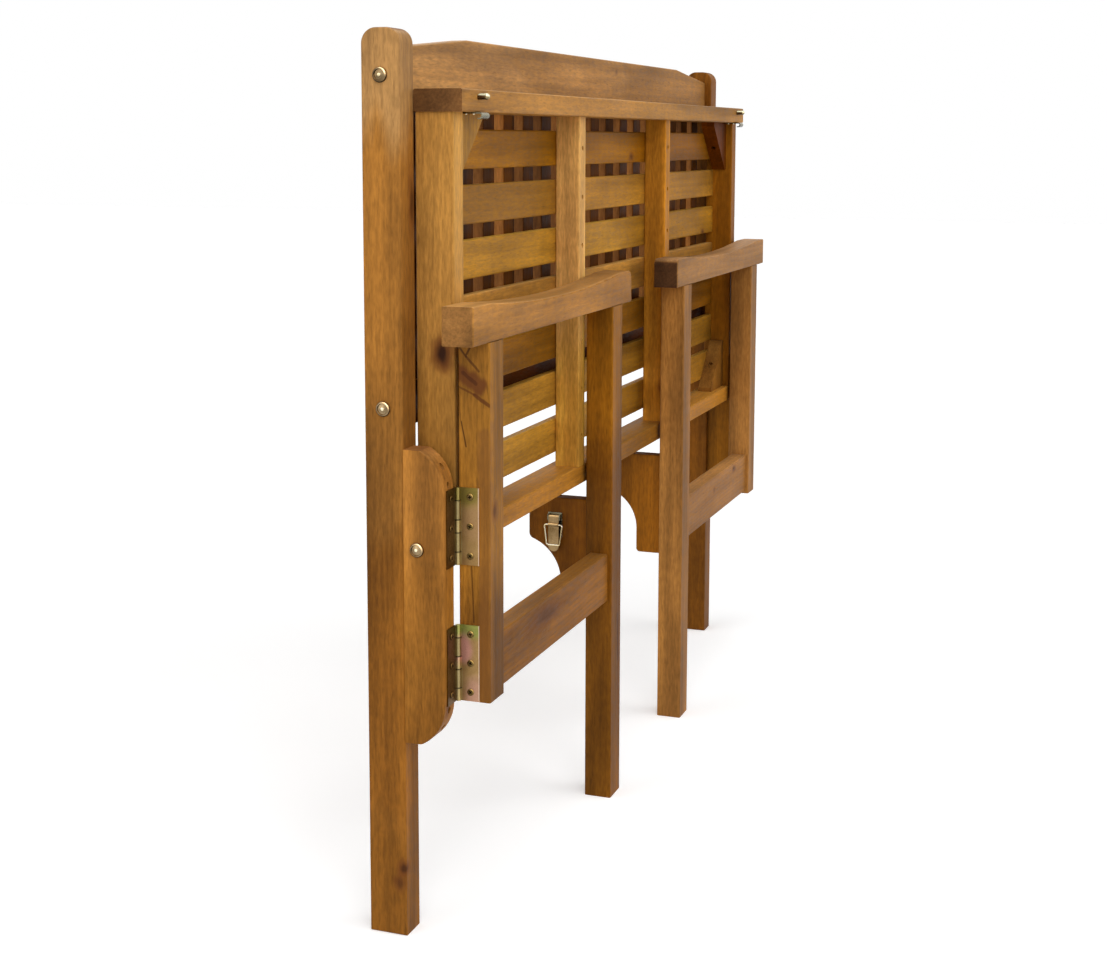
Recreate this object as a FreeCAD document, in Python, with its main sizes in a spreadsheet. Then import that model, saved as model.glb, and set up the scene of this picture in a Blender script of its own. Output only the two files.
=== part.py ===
import FreeCAD, Part
import Sketcher
import math
import os
import types

# Folding garden bench in oiled hardwood, modelled in its folded pose.
# X runs along the bench, -Y is the front and +Z is up. The origin is on the floor, under the
# middle of the folded bench. Sizes are in millimetres.

SIZES = {
    # back frame
    "bench_length": 1170,
    "bench_height": 900,
    "post_width": 32,
    "post_depth": 40.5,
    "post_top_radius": 15,
    "arris_radius": 2,
    "crest_height": 70,
    "crest_thickness": 20,
    "crest_below_post": 2.5,
    "crest_end_drop": 14.2,
    "crest_slope_length": 157,
    "back_rail_bottom": 513,
    "back_rail_height": 44,
    "back_rail_thickness": 20,
    "back_slat_count": 18,
    "back_slat_width": 33,
    "back_slat_thickness": 13.2,
    "back_bolt_diameter": 7,
    "back_bolt_length": 85,
    "bolt_head_diameter": 15,
    "bolt_head_height": 3.6,
    # hinge blocks in front of the posts
    "block_bottom": 202,
    "block_height": 294,
    "block_thickness": 26,
    "block_depth": 42.5,
    "block_nose_rise": 40,
    "block_nose_run": 24.4,
    "block_screw_diameter": 4,
    "block_screw_head_diameter": 6,
    "block_screw_length": 40,
    "block_screw_cover": 14,
    "block_screw_inset": 16,
    "block_screw_pitch": 18,
    # seat
    "seat_bottom": 387,
    "seat_length": 456,
    "seat_side_clearance": 3.6,
    "front_rail_overhang": 2.9,
    "seat_back_clearance": 0.5,
    "rail_thickness": 22,
    "rail_depth": 40.7,
    "front_rail_depth": 51,
    "side_rail_width": 24,
    "seat_slat_count": 7,
    "seat_slat_width": 40.5,
    "seat_slat_thickness": 11,
    "bearer_width": 22,
    "bearer_offset": 176,
    "bearer_screw_diameter": 3.6,
    "bearer_screw_head_diameter": 5.6,
    "bearer_screw_length": 20,
    "bearer_screw_tip_cover": 3,
    "corner_block_leg": 72,
    "corner_block_thickness": 20,
    "corner_block_blunt": 6,
    "corner_screw_diameter": 4,
    "corner_screw_bite": 13,
    "corner_screw_head_diameter": 7,
    "pivot_setback": 14.5,
    "pivot_diameter": 8,
    "pivot_length": 74,
    "pivot_head_diameter": 14.5,
    "pivot_head_gap": 0.3,
    "spacer_diameter": 17,
    "stud_inset": 40.4,
    "stud_rise": 4,
    "stud_diameter": 6,
    "stud_length": 32,
    "stud_proud": 12,
    "stud_head_diameter": 6.6,
    "stud_head_height": 4,
    "stud_clearance": 0.8,
    "catch_width": 18,
    "catch_thickness": 1.5,
    "catch_plate_length": 17.5,
    "catch_overhang": 4.5,
    "catch_curl_radius": 3.5,
    "catch_lip": 2,
    "catch_screw_inset": 6,
    "catch_screw_pitch": 8,
    "catch_screw_length": 7.3,
    # side frames
    "stile_width": 37,
    "stile_depth": 33,
    "arm_post_bottom": 241,
    "leg_reach": 384.5,
    "frame_setback": 0.2,
    "cross_rail_bottom": 245,
    "cross_rail_height": 58,
    "cross_rail_thickness": 23,
    "arm_underside": 600,
    "arm_thickness": 38,
    "arm_width": 33,
    "arm_length": 493,
    "arm_post_clearance": 7.7,
    "arm_nose_radius": 9,
    "arm_flat": 46,
    "arm_scoop": 8.5,
    "bracket_top": 365,
    "bracket_height": 137,
    "bracket_thickness": 20,
    "bracket_reach": 76,
    "bracket_foot": 35,
    "bracket_end_height": 51.4,
    "bracket_scallop_rise": 52.6,
    "bracket_tip_radius": 8,
    "bracket_foot_radius": 5,
    # butt hinges
    "hinge_height": 77.5,
    "upper_hinge_bottom": 379.5,
    "lower_hinge_bottom": 241.5,
    "leaf_width": 22,
    "leaf_thickness": 1.3,
    "knuckle_diameter": 5.2,
    "swing_knuckle_height": 13,
    "knuckle_gap": 0.2,
    "hinge_pin_diameter": 2.6,
    "leaf_screw_pitch": 29.5,
    "leaf_screw_inset": 12.8,
    "leaf_screw_diameter": 3.4,
    "leaf_screw_length": 16,
    "leaf_screw_head_diameter": 7,
    "leaf_screw_head_height": 1.1,
    # toggle latches
    "latch_pivot_drop": 23,
    "latch_pivot_standoff": 4.4,
    "latch_base_width": 18,
    "latch_base_height": 30,
    "latch_base_rise": 5,
    "latch_sheet": 1.2,
    "latch_ear_margin": 1,
    "latch_pin_diameter": 2.4,
    "latch_pin_proud": 0.5,
    "lever_width": 13,
    "lever_length": 42,
    "lever_thickness": 1.4,
    "lever_barrel_diameter": 5,
    "bail_drop": 9,
    "bail_tube_diameter": 3.8,
    "bail_wire_diameter": 1.8,
    "bail_length": 25,
    "bail_top_width": 23,
    "bail_tip_width": 16.5,
    "bail_bend_radius": 2.4,
    "bail_end_gap": 4,
    "latch_screw_diameter": 2.6,
    "latch_screw_length": 10,
    "latch_screw_drop": 12,
    "latch_screw_pitch": 9,
    "latch_screw_head_diameter": 4.6,
    "latch_screw_head_height": 0.9,
    # joinery and running fits
    "tenon_length": 14,
    "tenon_shoulder": 6.5,
    "slat_tenon_length": 8,
    "slat_tenon_shoulder": 2,
    "bore_clearance": 0.05,
    "drill_overrun": 1,
}


class Dim:
    """A length that carries its value and the sheet formula that it comes from."""

    def __init__(self, text, value):
        self.text = text
        self.value = value

    def __add__(self, other):
        other = as_dim(other)
        return Dim(f"({self.text} + {other.text})", self.value + other.value)

    def __sub__(self, other):
        other = as_dim(other)
        return Dim(f"({self.text} - {other.text})", self.value - other.value)

    def __mul__(self, other):
        other = as_dim(other)
        return Dim(f"({self.text} * {other.text})", self.value * other.value)

    def __truediv__(self, other):
        other = as_dim(other)
        return Dim(f"({self.text} / {other.text})", self.value / other.value)

    def __neg__(self):
        return Dim(f"(0 - {self.text})", -self.value)

    def __rsub__(self, other):
        return as_dim(other) - self


def as_dim(number):
    if isinstance(number, Dim):
        return number
    return Dim(f"({float(number)})", float(number))


doc = FreeCAD.newDocument("FoldingBench")
sheet = doc.addObject("Spreadsheet::Sheet", "Sizes")
d = types.SimpleNamespace()
for row, (name, value) in enumerate(SIZES.items(), start=1):
    sheet.set(f"A{row}", name)
    sheet.set(f"B{row}", str(value))
    sheet.setAlias(f"B{row}", name)
    setattr(d, name, Dim(f"Sizes.{name}", float(value)))
doc.recompute()

ZERO = as_dim(0)
PAN_HEAD_TAPER = 0.6
X, Y, Z = FreeCAD.Vector(1, 0, 0), FreeCAD.Vector(0, 1, 0), FreeCAD.Vector(0, 0, 1)
nodes = {}


# Modelling helpers

bore_gap = d.bore_clearance * 2


def bind(feature, prop, dim):
    setattr(feature, prop, dim.value)
    feature.setExpression(prop, dim.text)


def place(feature, at, direction=Z):
    at = [as_dim(value) for value in at]
    base = FreeCAD.Vector(*[dim.value for dim in at])
    feature.Placement = FreeCAD.Placement(base, FreeCAD.Rotation(Z, direction))
    for axis, dim in zip("xyz", at):
        feature.setExpression(f"Placement.Base.{axis}", dim.text)
    return feature


def box(size, at):
    feature = doc.addObject("Part::Box", "Block")
    for prop, dim in zip(("Length", "Width", "Height"), size):
        bind(feature, prop, as_dim(dim))
    return place(feature, at)


def rod(diameter, length, at, direction):
    feature = doc.addObject("Part::Cylinder", "Rod")
    bind(feature, "Radius", as_dim(diameter) / 2)
    bind(feature, "Height", as_dim(length))
    return place(feature, at, direction)


def cone(diameter, tip_diameter, height, at, direction):
    feature = doc.addObject("Part::Cone", "Cone")
    bind(feature, "Radius1", as_dim(diameter) / 2)
    bind(feature, "Radius2", as_dim(tip_diameter) / 2)
    bind(feature, "Height", as_dim(height))
    return place(feature, at, direction)


def fused(*pieces):
    feature = doc.addObject("Part::MultiFuse", "Joined")
    feature.Shapes = list(pieces)
    feature.Refine = True
    return feature


def grouped(*pieces):
    feature = doc.addObject("Part::Compound", "Group")
    feature.Links = list(pieces)
    return feature


def cut(piece, *tools):
    feature = doc.addObject("Part::Cut", "Trimmed")
    feature.Base = piece
    feature.Tool = tools[0] if len(tools) == 1 else grouped(*tools)
    return feature


def mirrored(piece):
    feature = doc.addObject("Part::Mirroring", "Mirrored")
    feature.Source = piece
    feature.Normal = X
    return feature


def filleted(piece, radius, wanted):
    """Round the edges of a piece that the test wanted(edge) picks."""
    doc.recompute()
    feature = doc.addObject("Part::Fillet", "Rounded")
    feature.Base = piece
    picked = [i for i, edge in enumerate(piece.Shape.Edges, start=1) if wanted(edge)]
    feature.Edges = [(i, radius.value, radius.value) for i in picked]
    return feature


def eased(piece, radius, along):
    """Round the long edges of a bar, which lie along the given axis."""
    def is_long(edge):
        first, last = edge.Vertexes[0].Point, edge.Vertexes[-1].Point
        return abs(abs((last - first).normalize().dot(along)) - 1) < 1e-6

    return filleted(piece, radius, is_long)


def softened(piece, radius, across):
    """Round the outlines of the two faces of a board that look along the given axis."""
    doc.recompute()
    box_of = piece.Shape.BoundBox
    low = FreeCAD.Vector(box_of.XMin, box_of.YMin, box_of.ZMin).dot(across)
    high = FreeCAD.Vector(box_of.XMax, box_of.YMax, box_of.ZMax).dot(across)

    def on_outline(edge):
        level = [vertex.Point.dot(across) for vertex in edge.Vertexes]
        on_low = max(abs(value - low) for value in level) < 1e-4
        return on_low or max(abs(value - high) for value in level) < 1e-4

    return filleted(piece, radius, on_outline)


def arc_between(start, end, radius, turn):
    """Arc from start to end: turn is 1 where it runs anticlockwise and -1 where clockwise."""
    middle = (start + end) * 0.5
    chord = end - start
    reach = math.sqrt(radius ** 2 - chord.Length ** 2 / 4)
    side = FreeCAD.Vector(-chord.y, chord.x, 0).normalize()
    centre = middle + side * reach * turn
    first, last = (start, end) if turn > 0 else (end, start)
    angles = [math.atan2(point.y - centre.y, point.x - centre.x) for point in (first, last)]
    return Part.ArcOfCircle(Part.Circle(centre, Z, radius), *angles)


def draw_outline(sketch, corners):
    """Closed outline: each corner is x, y and, where an arc leaves it, its radius and turn."""
    corners = [[as_dim(c[0]), as_dim(c[1]), *c[2:]] for c in corners]
    points = [FreeCAD.Vector(c[0].value, c[1].value, 0) for c in corners]
    ends = []
    for index, corner in enumerate(corners):
        start, end = points[index], points[(index + 1) % len(points)]
        if len(corner) == 2:
            geometry = sketch.addGeometry(Part.LineSegment(start, end))
            ends.append((geometry, 1, 2))
            continue
        radius, turn = corner[2:]
        geometry = sketch.addGeometry(arc_between(start, end, radius.value, turn))
        ends.append((geometry, 1, 2) if turn > 0 else (geometry, 2, 1))
        constraint = sketch.addConstraint(Sketcher.Constraint("Radius", geometry, radius.value))
        sketch.setExpression(f"Constraints[{constraint}]", radius.text)
    for index, (geometry, start, end) in enumerate(ends):
        following, head, _ = ends[(index + 1) % len(ends)]
        sketch.addConstraint(Sketcher.Constraint("Coincident", geometry, end, following, head))
        for kind, dim, axis in (("DistanceX", corners[index][0], -2),
                                ("DistanceY", corners[index][1], -1)):
            if dim.value == 0:
                sketch.addConstraint(Sketcher.Constraint("PointOnObject", geometry, start, axis))
                continue
            rule = Sketcher.Constraint(kind, -1, 1, geometry, start, dim.value)
            constraint = sketch.addConstraint(rule)
            sketch.setExpression(f"Constraints[{constraint}]", dim.text)


def board(plane, corners, thickness, at):
    """Board sawn to an outline: on XZ_Plane it grows towards -Y, on YZ_Plane towards +X."""
    body = doc.addObject("PartDesign::Body", "Board")
    sketch = body.newObject("Sketcher::SketchObject", "Outline")
    support = [item for item in body.Origin.OriginFeatures if item.Role == plane][0]
    sketch.AttachmentSupport = [(support, "")]
    sketch.MapMode = "FlatFace"
    draw_outline(sketch, corners)
    pad = body.newObject("PartDesign::Pad", "Thickness")
    pad.Profile = sketch
    bind(pad, "Length", thickness)
    return place(body, at)


def shifted(at, direction, distance):
    """The point at a distance from another one along a direction."""
    moved = []
    for value, part in zip(at, direction):
        moved.append(as_dim(value) + as_dim(distance) * part if part else as_dim(value))
    return moved


def tenon_core(size, at, along, shoulder, length):
    """Core of a bar, set in by the shoulder on four sides and longer at both ends."""
    core_size, core_at = [], []
    for extent, start, part in zip(size, at, along):
        growth = length if part else -shoulder
        core_size.append(as_dim(extent) + growth * 2)
        core_at.append(as_dim(start) - growth)
    return box(core_size, core_at)


def tenoned_bar(size, at, along, shoulder, length):
    """Bar with eased edges and a tenon at each end, and the core that cuts its mortises."""
    core = tenon_core(size, at, along, shoulder, length)
    return fused(eased(box(size, at), d.arris_radius, along), core), core


def turned_bolt(surface, direction, head, height, shank, length):
    """Domed bolt whose head sits on a surface and whose shank runs along the direction."""
    body = doc.addObject("PartDesign::Body", "Bolt")
    sketch = body.newObject("Sketcher::SketchObject", "HalfSection")
    support = [item for item in body.Origin.OriginFeatures if item.Role == "XZ_Plane"][0]
    sketch.AttachmentSupport = [(support, "")]
    sketch.MapMode = "FlatFace"
    rim = height / 4
    rise = height - rim
    dome_radius = (head * head / 4 + rise * rise) / (rise * 2)
    draw_outline(sketch, [(ZERO, ZERO), (shank / 2, ZERO), (shank / 2, length), (head / 2, length),
                          (head / 2, length + rim, dome_radius, 1), (ZERO, length + height)])
    turning = body.newObject("PartDesign::Revolution", "Turning")
    turning.Profile = sketch
    turning.ReferenceAxis = (sketch, ["V_Axis"])
    turning.Angle = 360
    return place(body, shifted(surface, direction, length), -direction)


def hex_socket(surface, direction, height, width):
    """Key recess in the head of a bolt that stands on a surface."""
    recess = doc.addObject("Part::Prism", "Socket")
    recess.Polygon = 6
    bind(recess, "Circumradius", width / 2)
    bind(recess, "Height", height)
    return place(recess, shifted(surface, direction, -height / 2), -direction)


def pan_screw(surface, direction, shank, length, head, height):
    """Screw whose head stands proud of a surface, and the hole that it runs in."""
    head_piece = cone(head, head * PAN_HEAD_TAPER, height, surface, -direction)
    screw = fused(head_piece, rod(shank, length, surface, direction))
    return screw, rod(shank + bore_gap, length + d.drill_overrun, surface, direction)


def sunk_screw(surface, direction, seat, shank, length, head):
    """Screw whose head lies in a counterbore, and the stepped hole that it runs in."""
    seat_point = shifted(surface, direction, seat)
    head_piece = rod(head, shank, shifted(surface, direction, seat - shank), direction)
    screw = fused(head_piece, rod(shank, length, seat_point, direction))
    mouth = shifted(surface, direction, -d.drill_overrun)
    counterbore = rod(head + bore_gap, seat + d.drill_overrun, mouth, direction)
    pilot = rod(shank + bore_gap, length + d.drill_overrun, seat_point, direction)
    return screw, fused(counterbore, pilot)


def node(label, piece):
    piece.Label = label
    nodes[label] = piece
    return piece


def pair(label, piece):
    """Left-hand piece and its mirror image on the right."""
    node(f"left_{label}", piece)
    node(f"right_{label}", mirrored(piece))
    return piece


def both(label, *pieces):
    """One node that holds left-hand pieces and their mirror images."""
    node(label, grouped(*pieces, *[mirrored(piece) for piece in pieces]))


# Places that several pieces share

half_length = d.bench_length / 2
frame_reach = d.block_depth + d.knuckle_diameter / 2 + d.frame_setback + d.arm_width
post_front = (frame_reach - d.post_depth) / 2
post_middle = post_front + d.post_depth / 2
post_inner = d.post_width - half_length
block_front = post_front - d.block_depth
hinge_x = d.block_thickness + d.knuckle_diameter / 2 - half_length
hinge_y = block_front - d.knuckle_diameter / 2
frame_back = hinge_y - d.frame_setback
seat_half = half_length - d.block_thickness - d.seat_side_clearance
seat_back = post_front - d.seat_back_clearance
seat_top = d.seat_bottom + d.seat_length
frame_half = seat_half - d.front_rail_overhang
seat_inside = frame_half - d.side_rail_width


# Hinges: two per side, a fixed leaf with two knuckles and a swinging leaf with three

def knuckle_heights():
    """Start and height of the five knuckles, from the bottom of a hinge."""
    swinging = d.swing_knuckle_height
    fixed = (d.hinge_height - swinging * 3) / 2
    starts = [ZERO]
    for height in (swinging, fixed, swinging, fixed):
        starts.append(starts[-1] + height)
    return list(zip(starts, (swinging, fixed, swinging, fixed, swinging)))


def hinge_leaf(plate, bottom, own):
    """Leaf with its own knuckles on the pin axis, notched for the knuckles of the other leaf."""
    knuckles, notches = [], []
    reach = d.knuckle_diameter + d.knuckle_gap * 2
    for index, (start, height) in enumerate(knuckle_heights()):
        low = bottom + start
        if index in own:
            at = (hinge_x, hinge_y, low + d.knuckle_gap / 2)
            knuckles.append(rod(d.knuckle_diameter, height - d.knuckle_gap, at, Z))
        else:
            at = (hinge_x - reach / 2, hinge_y - reach / 2, low - d.knuckle_gap / 2)
            notches.append(box((reach, reach, height + d.knuckle_gap), at))
    bore = rod(d.hinge_pin_diameter + bore_gap, d.hinge_height, (hinge_x, hinge_y, bottom), Z)
    return cut(fused(cut(plate, *notches), *knuckles), bore)


def screw_heights(bottom):
    middle = bottom + d.hinge_height / 2
    return (middle - d.leaf_screw_pitch, middle, middle + d.leaf_screw_pitch)


def leaf_screw(surface, direction):
    return pan_screw(surface, direction, d.leaf_screw_diameter, d.leaf_screw_length,
                     d.leaf_screw_head_diameter, d.leaf_screw_head_height)


hinge_bottoms = (d.upper_hinge_bottom, d.lower_hinge_bottom)
fixed_screws, fixed_screw_holes = [], []
swing_screws, swing_screw_holes = [], []
for bottom in hinge_bottoms:
    for height in screw_heights(bottom):
        fixed_face = (hinge_x - d.leaf_screw_inset, block_front - d.leaf_thickness, height)
        screw, hole = leaf_screw(fixed_face, Y)
        fixed_screws.append(screw)
        fixed_screw_holes.append(hole)
        swing_face = (hinge_x + d.knuckle_diameter / 2 - d.leaf_thickness,
                      hinge_y - d.leaf_screw_inset, height)
        screw, hole = leaf_screw(swing_face, X)
        swing_screws.append(screw)
        swing_screw_holes.append(hole)

fixed_leaves, swing_leaves, hinge_pins = [], [], []
for bottom in hinge_bottoms:
    fixed_plate = box((d.leaf_width, d.leaf_thickness, d.hinge_height),
                      (hinge_x - d.leaf_width, block_front - d.leaf_thickness, bottom))
    swing_plate = box((d.leaf_thickness, d.leaf_width, d.hinge_height),
                      (hinge_x + d.knuckle_diameter / 2 - d.leaf_thickness,
                       hinge_y - d.leaf_width, bottom))
    fixed_leaves.append(cut(hinge_leaf(fixed_plate, bottom, (1, 3)), *fixed_screw_holes))
    swing_leaves.append(cut(hinge_leaf(swing_plate, bottom, (0, 2, 4)), *swing_screw_holes))
    hinge_pins.append(rod(d.hinge_pin_diameter, d.hinge_height, (hinge_x, hinge_y, bottom), Z))

pair("fixed_leaves", grouped(*fixed_leaves))
pair("swing_leaves", grouped(*swing_leaves))
both("hinge_pins", *hinge_pins)
both("fixed_leaf_screws", *fixed_screws)


# Back: posts, crest rail, lower rail, slats and the bolts that hold the rails

crest_bottom = d.bench_height - d.crest_below_post - d.crest_height
crest_bolt_height = crest_bottom + (d.crest_height - d.crest_end_drop) / 2
back_rail_bolt_height = d.back_rail_bottom + d.back_rail_height / 2
span = d.bench_length - d.post_width * 2

back_bolts, back_bolt_holes = [], []
for height in (crest_bolt_height, back_rail_bolt_height):
    surface = (-half_length, post_middle, height)
    bolt = turned_bolt(surface, X, d.bolt_head_diameter, d.bolt_head_height,
                       d.back_bolt_diameter, d.back_bolt_length)
    back_bolts.append(cut(bolt, hex_socket(surface, X, d.bolt_head_height,
                                           d.back_bolt_diameter)))
    hole = rod(d.back_bolt_diameter + bore_gap, d.back_bolt_length + d.drill_overrun, surface, X)
    back_bolt_holes.append(hole)
    back_bolt_holes.append(mirrored(hole))
both("rail_bolts", *back_bolts)

block_screws, block_screw_holes = [], []
block_middle = d.block_thickness / 2 - half_length
block_top = d.block_bottom + d.block_height
for inset in (d.block_screw_inset, d.block_screw_inset + d.block_screw_pitch):
    for height in (d.block_bottom + inset, block_top - inset):
        screw, hole = sunk_screw((block_middle, block_front, height), Y,
                                 d.block_depth - d.block_screw_cover, d.block_screw_diameter,
                                 d.block_screw_length, d.block_screw_head_diameter)
        block_screws.append(screw)
        block_screw_holes.append(hole)
both("block_screws", *block_screws)

post = box((d.post_width, d.post_depth, d.bench_height), (-half_length, post_front, ZERO))
post = filleted(post, d.post_top_radius, lambda edge: edge.BoundBox.ZMin > d.bench_height.value - 1
                and edge.BoundBox.XLength > 1)
post = softened(post, d.arris_radius, X)
pair("post", cut(post, *back_bolt_holes, *block_screw_holes))

slat_gap = (span - d.back_slat_width * d.back_slat_count) / (d.back_slat_count + 1)
slat_bottom = d.back_rail_bottom + d.back_rail_height
back_slats, back_mortises = [], []
for index in range(int(SIZES["back_slat_count"])):
    left = post_inner + slat_gap + (d.back_slat_width + slat_gap) * index
    slat, core = tenoned_bar((d.back_slat_width, d.back_slat_thickness, crest_bottom - slat_bottom),
                             (left, post_middle - d.back_slat_thickness / 2, slat_bottom), Z,
                             d.slat_tenon_shoulder, d.slat_tenon_length)
    back_slats.append(slat)
    back_mortises.append(core)
node("back_slats", grouped(*back_slats))

crest_end = d.crest_height - d.crest_end_drop
crest = board("XZ_Plane", [(ZERO, ZERO), (span, ZERO), (span, crest_end),
                           (span - d.crest_slope_length, d.crest_height),
                           (d.crest_slope_length, d.crest_height), (ZERO, crest_end)],
              d.crest_thickness, (post_inner, post_middle + d.crest_thickness / 2, crest_bottom))
crest = filleted(crest, d.arris_radius, lambda edge: edge.BoundBox.XLength > 1
                 and edge.BoundBox.ZMax > crest_bottom.value + 1)
node("crest_rail", cut(crest, *back_mortises, *back_bolt_holes))

back_rail = box((span, d.back_rail_thickness, d.back_rail_height),
                (post_inner, post_middle - d.back_rail_thickness / 2, d.back_rail_bottom))
node("back_lower_rail", cut(eased(back_rail, d.arris_radius, X), *back_mortises, *back_bolt_holes))


# Hinge blocks, one in front of each post, and the bolts that the seat turns on

nose_radius = ((d.block_nose_rise * d.block_nose_rise + d.block_nose_run * d.block_nose_run)
               / (d.block_nose_run * 2))
block = board("YZ_Plane", [(ZERO, d.block_nose_rise),
                           (ZERO, d.block_height - d.block_nose_rise, nose_radius, -1),
                           (d.block_nose_run, d.block_height), (d.block_depth, d.block_height),
                           (d.block_depth, ZERO), (d.block_nose_run, ZERO, nose_radius, -1)],
              d.block_thickness, (-half_length, block_front, d.block_bottom))


def on_block_nose(edge):
    """Test for the front edges of a hinge block, straight and round."""
    limits = edge.BoundBox
    nose_end = block_front.value + d.block_nose_run.value
    return limits.XLength < 0.01 and limits.YMin < nose_end - 0.01


pivot_height = d.seat_bottom + d.rail_thickness / 2
pivot_y = post_front - d.pivot_setback
pivot_surface = (-half_length - d.pivot_head_gap, pivot_y, pivot_height)
pivot = turned_bolt(pivot_surface, X, d.pivot_head_diameter, d.bolt_head_height,
                    d.pivot_diameter, d.pivot_length)
pivot_socket = hex_socket(pivot_surface, X, d.bolt_head_height, d.pivot_diameter)
both("seat_pivot_bolts", cut(pivot, pivot_socket))
spacer_gap = d.pivot_head_gap
spacer_at = (d.block_thickness + spacer_gap - half_length, pivot_y, pivot_height)
spacer_length = d.seat_side_clearance + d.front_rail_overhang - spacer_gap * 2
spacer = rod(d.spacer_diameter, spacer_length, spacer_at, X)
both("pivot_spacers", cut(spacer, rod(d.pivot_diameter + bore_gap, spacer_length, spacer_at, X)))
pivot_hole = rod(d.pivot_diameter + bore_gap, d.pivot_length + d.drill_overrun, pivot_surface, X)
pair("hinge_block", cut(filleted(block, d.arris_radius, on_block_nose), pivot_hole,
                        *block_screw_holes, *fixed_screw_holes))


# Corner blocks of the seat, each with a screw through its slanted face into the frame's corner

seat_inner_bottom = d.seat_bottom + d.rail_thickness
front_rail_bottom = seat_top - d.rail_thickness
slat_underside = seat_back - d.seat_slat_thickness
leg = d.corner_block_leg
blunt = d.corner_block_blunt
diagonal = 0.5 ** 0.5
corner_shapes = {
    "front": ([(ZERO, ZERO), (blunt, ZERO), (leg, leg - blunt), (leg, leg), (ZERO, leg)],
              front_rail_bottom - leg, 1),
    "rear": ([(ZERO, ZERO), (leg, ZERO), (leg, blunt), (blunt, leg), (ZERO, leg)],
             seat_inner_bottom, -1),
}
corner_screw_seat = d.corner_screw_diameter * 2
corner_screw_length = (leg + blunt) * diagonal - corner_screw_seat + d.corner_screw_bite
corner_screws, corner_screw_holes = [], []
for place_name, (outline, bottom, rise) in corner_shapes.items():
    wedge = board("XZ_Plane", outline, d.corner_block_thickness,
                  (-seat_inside, slat_underside, bottom))
    inward = FreeCAD.Vector(-diagonal, 0, diagonal * rise)
    face_middle = (leg - blunt * rise) / 2
    surface = ((leg + blunt) / 2 - seat_inside, slat_underside - d.corner_block_thickness / 2,
               bottom + face_middle)
    screw, hole = sunk_screw(surface, inward, corner_screw_seat, d.corner_screw_diameter,
                             corner_screw_length, d.corner_screw_head_diameter)
    corner_screws.append(screw)
    corner_screw_holes.append(hole)
    pair(f"{place_name}_corner_block", cut(wedge, hole))
both("corner_block_screws", *corner_screws)


# Seat: two long rails, two side rails, and seven slats on two bearers

seat_inner_height = d.seat_length - d.rail_thickness * 2
rail_front = seat_back - d.rail_depth

bearer_at = (-d.bearer_offset - d.bearer_width / 2, rail_front, seat_inner_bottom)
bearer_size = (d.bearer_width, slat_underside - rail_front, seat_inner_height)
bearer, bearer_core = tenoned_bar(bearer_size, bearer_at, Z, d.tenon_shoulder, d.tenon_length)
side_at = (-frame_half, rail_front, seat_inner_bottom)
side_size = (d.side_rail_width, d.rail_depth, seat_inner_height)
side, side_core = tenoned_bar(side_size, side_at, Z, d.tenon_shoulder, d.tenon_length)

seat_gap = ((seat_inner_height - d.seat_slat_width * d.seat_slat_count)
            / (d.seat_slat_count + 1))
seat_mortises = []
bearer_screws, bearer_screw_holes = [], []
seat_slats = []
for index in range(int(SIZES["seat_slat_count"])):
    low = seat_top - d.rail_thickness - (seat_gap + d.seat_slat_width) * (index + 1)
    slat, core = tenoned_bar((seat_inside * 2, d.seat_slat_thickness, d.seat_slat_width),
                             (-seat_inside, slat_underside, low), X,
                             d.slat_tenon_shoulder, d.slat_tenon_length)
    seat_slats.append(slat)
    seat_mortises.append(core)
    screw, hole = sunk_screw((-d.bearer_offset, rail_front, low + d.seat_slat_width / 2), Y,
                             d.rail_depth - d.bearer_screw_tip_cover - d.bearer_screw_length,
                             d.bearer_screw_diameter, d.bearer_screw_length,
                             d.bearer_screw_head_diameter)
    bearer_screws.append(screw)
    bearer_screw_holes.append(hole)
for index, slat in enumerate(seat_slats, start=1):
    hole = bearer_screw_holes[index - 1]
    node(f"seat_slat_{index}", cut(slat, hole, mirrored(hole)))
both("bearer_screws", *bearer_screws)
pair("bearer", cut(bearer, *bearer_screw_holes))
pair("seat_side_rail", cut(side, pivot_hole, *seat_mortises, *corner_screw_holes))

stud_x = d.stud_inset - seat_half
front_rail_front = seat_back - d.front_rail_depth
stud_surface = (stud_x, front_rail_front, front_rail_bottom + d.rail_thickness / 2 + d.stud_rise)
stud_shoulder = shifted(stud_surface, Y, d.stud_head_height - d.stud_proud)
stud_shank = d.stud_length - d.stud_head_height
both("locating_studs", turned_bolt(stud_shoulder, Y, d.stud_head_diameter, d.stud_head_height,
                                   d.stud_diameter, stud_shank))
stud_hole = rod(d.stud_diameter + bore_gap, stud_shank + d.drill_overrun, stud_shoulder, Y)

catch_screws, catch_screw_holes = [], []
for inset in (d.catch_screw_inset, d.catch_screw_inset + d.catch_screw_pitch):
    surface = (stud_x, front_rail_front + inset, front_rail_bottom - d.catch_thickness)
    screw, hole = pan_screw(surface, Z, d.latch_screw_diameter, d.catch_screw_length,
                            d.latch_screw_head_diameter, d.latch_screw_head_height)
    catch_screws.append(screw)
    catch_screw_holes.append(hole)
both("catch_screws", *catch_screws)

front_rail = box((seat_half * 2, d.front_rail_depth, d.rail_thickness),
                 (-seat_half, front_rail_front, front_rail_bottom))
rear_rail = box((frame_half * 2, d.rail_depth, d.rail_thickness),
                (-frame_half, rail_front, d.seat_bottom))
front_tools = (stud_hole, side_core, bearer_core, *catch_screw_holes, *corner_screw_holes)
rear_tools = (pivot_hole, side_core, bearer_core, *corner_screw_holes)
node("seat_front_rail", cut(eased(front_rail, d.arris_radius, X), *front_tools,
                            *[mirrored(tool) for tool in front_tools]))
node("seat_rear_rail", cut(eased(rear_rail, d.arris_radius, X), *rear_tools,
                           *[mirrored(tool) for tool in rear_tools]))


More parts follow.
